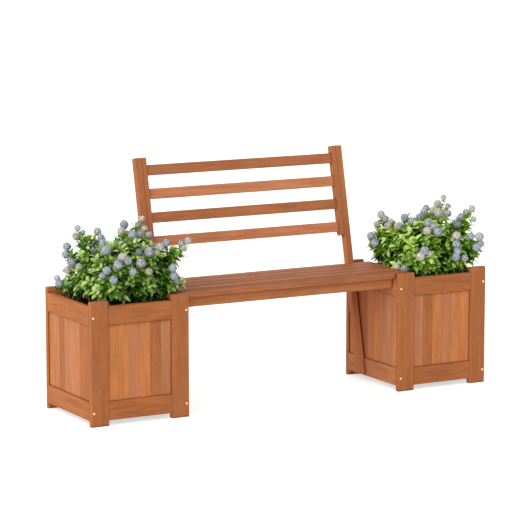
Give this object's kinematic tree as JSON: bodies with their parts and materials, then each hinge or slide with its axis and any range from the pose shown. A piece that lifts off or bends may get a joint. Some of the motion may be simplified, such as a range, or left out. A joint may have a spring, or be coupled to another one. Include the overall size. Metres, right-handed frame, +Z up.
{
  "type": "bench with planter",
  "caption": "Timber garden bench with a raked slatted back, its slatted seat carried by a square planter box with flowers at each end.",
  "frame": {"origin": "centre of the bounding box at the ground", "axes": "+X along the bench to the right seen from the front, +Y to the back, +Z up"},
  "size_m": [1.5, 0.4138, 0.8058],
  "materials": {
    "frame_wood": "stained hardwood, satin oil",
    "board_wood": "stained hardwood, satin oil",
    "seat_wood": "stained hardwood, satin oil",
    "back_wood": "stained hardwood, satin oil",
    "inner_wood": "planed hardwood, matt",
    "soil": "loose dark earth",
    "leaves": "small satin leaves",
    "flowers": "clusters of small matt petals",
    "screw_steel": "zinc plated",
    "bolt_steel": "zinc plated"
  },
  "bodies": {
    "root": {"back_slat_1": "back_wood", "back_slat_2": "back_wood", "back_slat_3": "back_wood", "back_slat_4": "back_wood", "floor_cleats": "inner_wood", "frame_screws": "screw_steel", "front_apron": "seat_wood", "left_back_boards": "board_wood", "left_back_bottom_rail": "frame_wood", "left_back_inner_post": "frame_wood", "left_back_outer_post": "frame_wood", "left_back_post": "back_wood", "left_back_stile": "back_wood", "left_back_top_rail": "frame_wood", "left_floor_slats": "inner_wood", "left_flower_heads": "flowers", "left_foliage": "leaves", "left_front_boards": "board_wood", "left_front_bottom_rail": "frame_wood", "left_front_inner_post": "frame_wood", "left_front_outer_post": "frame_wood", "left_front_top_rail": "frame_wood", "left_inner_boards": "board_wood", "left_inner_bottom_rail": "frame_wood", "left_inner_top_rail": "frame_wood", "left_outer_boards": "board_wood", "left_outer_bottom_rail": "frame_wood", "left_outer_top_rail": "frame_wood", "left_soil": "soil", "leg_bolts": "bolt_steel", "planter_screws": "screw_steel", "rear_apron": "seat_wood", "right_back_boards": "board_wood", "right_back_bottom_rail": "frame_wood", "right_back_inner_post": "frame_wood", "right_back_outer_post": "frame_wood", "right_back_post": "back_wood", "right_back_stile": "back_wood", "right_back_top_rail": "frame_wood", "right_floor_slats": "inner_wood", "right_flower_heads": "flowers", "right_foliage": "leaves", "right_front_boards": "board_wood", "right_front_bottom_rail": "frame_wood", "right_front_inner_post": "frame_wood", "right_front_outer_post": "frame_wood", "right_front_top_rail": "frame_wood", "right_inner_boards": "board_wood", "right_inner_bottom_rail": "frame_wood", "right_inner_top_rail": "frame_wood", "right_outer_boards": "board_wood", "right_outer_bottom_rail": "frame_wood", "right_outer_top_rail": "frame_wood", "right_soil": "soil", "seat_bearers": "inner_wood", "seat_slat_1": "seat_wood", "seat_slat_2": "seat_wood", "seat_slat_3": "seat_wood", "seat_slat_4": "seat_wood", "seat_slat_5": "seat_wood"}
  },
  "joints": []
}
